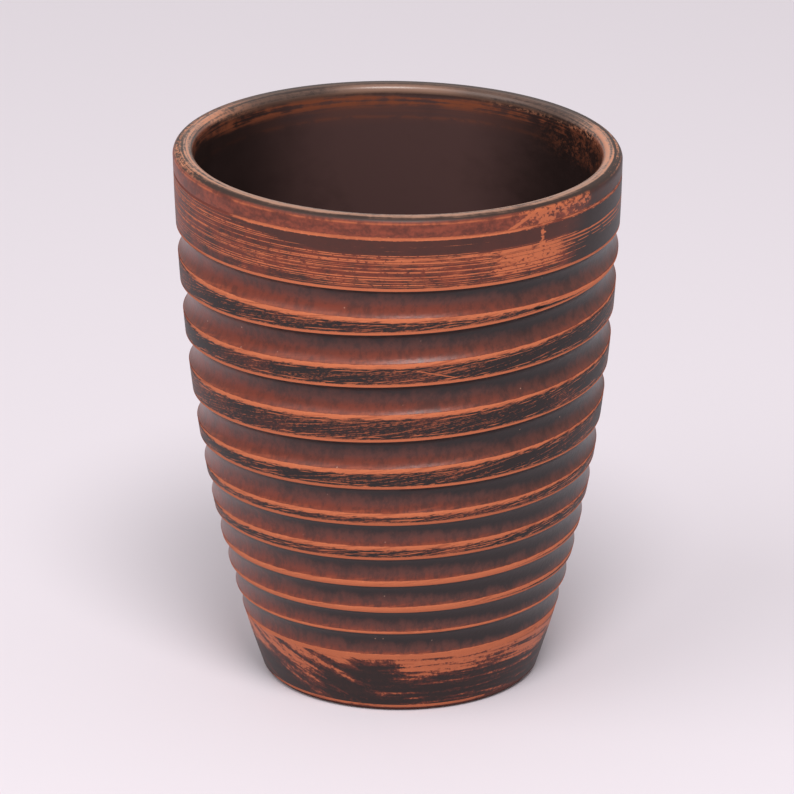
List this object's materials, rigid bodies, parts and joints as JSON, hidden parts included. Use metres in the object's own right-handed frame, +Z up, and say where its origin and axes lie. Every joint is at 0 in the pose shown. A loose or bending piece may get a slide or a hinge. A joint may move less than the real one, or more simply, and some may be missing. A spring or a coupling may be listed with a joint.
{
  "type": "ribbed clay cup",
  "caption": "Tall handleless clay cup with a flaring ribbed wall turned in a spiral, dark slip parted by lines of bare clay, a rounded lip and a flat foot.",
  "frame": {"origin": "centre of the flat resting face under the foot", "axes": "+Z up the cup's axis to the mouth, -Y towards the viewer of the picture, +X to the viewer's right"},
  "size_m": [0.0858, 0.0858, 0.1057],
  "materials": {
    "bare_clay": "fired red clay, scraped bare, matt",
    "lining_slip": "dark slip, satin, worn on the lip",
    "rim_slip": "dark slip, satin, streaked",
    "groove_slip": "dark red-brown slip, satin",
    "land_slip": "near-black slip, satin, scratched",
    "foot_slip": "near-black slip, brushed thin at its top"
  },
  "bodies": {
    "root": {"clay_body": "bare_clay", "lining_coat": "lining_slip", "rim_coat": "rim_slip", "groove_coat_01": "groove_slip", "groove_coat_02": "groove_slip", "groove_coat_03": "groove_slip", "groove_coat_04": "groove_slip", "groove_coat_05": "groove_slip", "groove_coat_06": "groove_slip", "groove_coat_07": "groove_slip", "groove_coat_08": "groove_slip", "groove_coat_09": "groove_slip", "groove_coat_10": "groove_slip", "land_coat_01": "land_slip", "land_coat_02": "land_slip", "land_coat_03": "land_slip", "land_coat_04": "land_slip", "land_coat_05": "land_slip", "land_coat_06": "land_slip", "foot_coat": "foot_slip"}
  },
  "joints": []
}
